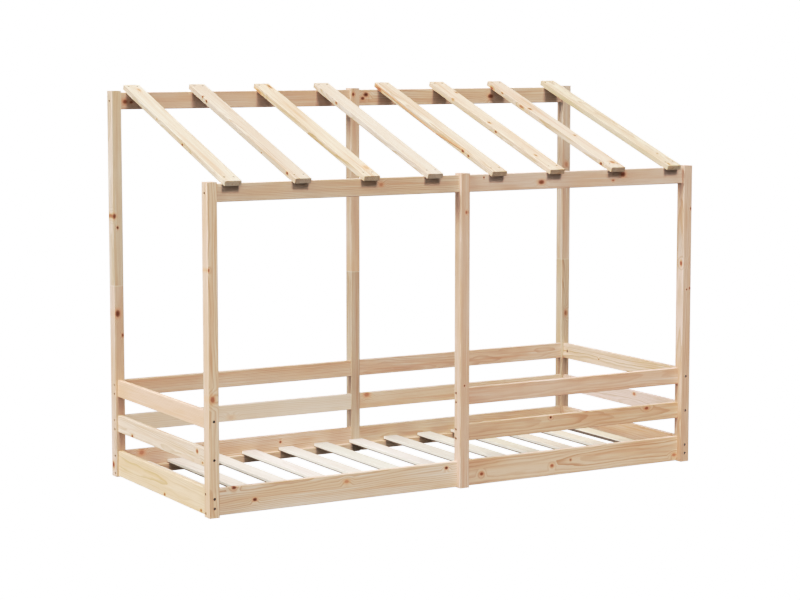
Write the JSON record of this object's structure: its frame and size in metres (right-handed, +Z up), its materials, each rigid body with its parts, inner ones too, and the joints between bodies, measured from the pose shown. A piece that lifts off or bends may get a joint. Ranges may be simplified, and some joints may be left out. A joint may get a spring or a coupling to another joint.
{
  "type": "kids bed",
  "caption": "Child's bed of plain softwood with tall posts, guard rails at sides and ends, an open entry, a slatted base and a sloping slatted roof frame.",
  "frame": {"origin": "on the floor, under the middle of the outline; the roof slats reach out in front, so the posts' own middle lies 6.5 mm further to the rear", "axes": "+Z up, +X along the bed from the open half of the front to the railed half, +Y from the open front side to the rear side"},
  "size_m": [1.96, 0.8432, 1.4012],
  "materials": {
    "pine": "planed and sanded, unfinished",
    "beech": "turned, unfinished",
    "steel": "zinc plated"
  },
  "bodies": {
    "root": {"front_left_post": "pine", "front_middle_post": "pine", "front_right_post": "pine", "rear_left_post_lower": "pine", "rear_left_post_upper": "pine", "rear_middle_post_lower": "pine", "rear_middle_post_upper": "pine", "rear_right_post_lower": "pine", "rear_right_post_upper": "pine", "front_left_beam": "pine", "front_right_beam": "pine", "rear_left_beam": "pine", "rear_right_beam": "pine", "front_right_lower_guard": "pine", "front_right_upper_guard": "pine", "rear_left_lower_guard": "pine", "rear_left_upper_guard": "pine", "rear_right_lower_guard": "pine", "rear_right_upper_guard": "pine", "left_end_lower_guard": "pine", "left_end_upper_guard": "pine", "right_end_lower_guard": "pine", "right_end_upper_guard": "pine", "front_left_bottom_rail": "pine", "front_right_bottom_rail": "pine", "rear_left_bottom_rail": "pine", "rear_right_bottom_rail": "pine", "left_end_bottom_rail": "pine", "right_end_bottom_rail": "pine", "front_left_ledger": "pine", "front_right_ledger": "pine", "rear_left_ledger": "pine", "rear_right_ledger": "pine", "bed_slat_1": "pine", "bed_slat_2": "pine", "bed_slat_3": "pine", "bed_slat_4": "pine", "bed_slat_5": "pine", "bed_slat_6": "pine", "bed_slat_7": "pine", "bed_slat_8": "pine", "bed_slat_9": "pine", "bed_slat_10": "pine", "bed_slat_11": "pine", "bed_slat_12": "pine", "bed_slat_13": "pine", "roof_slat_1": "pine", "roof_slat_2": "pine", "roof_slat_3": "pine", "roof_slat_4": "pine", "roof_slat_5": "pine", "roof_slat_6": "pine", "roof_slat_7": "pine", "roof_slat_8": "pine", "rail_bolts": "steel", "post_studs": "steel", "barrel_nuts": "steel", "post_dowels": "beech", "roof_slat_screws": "steel", "bed_slat_screws": "steel"}
  },
  "joints": []
}
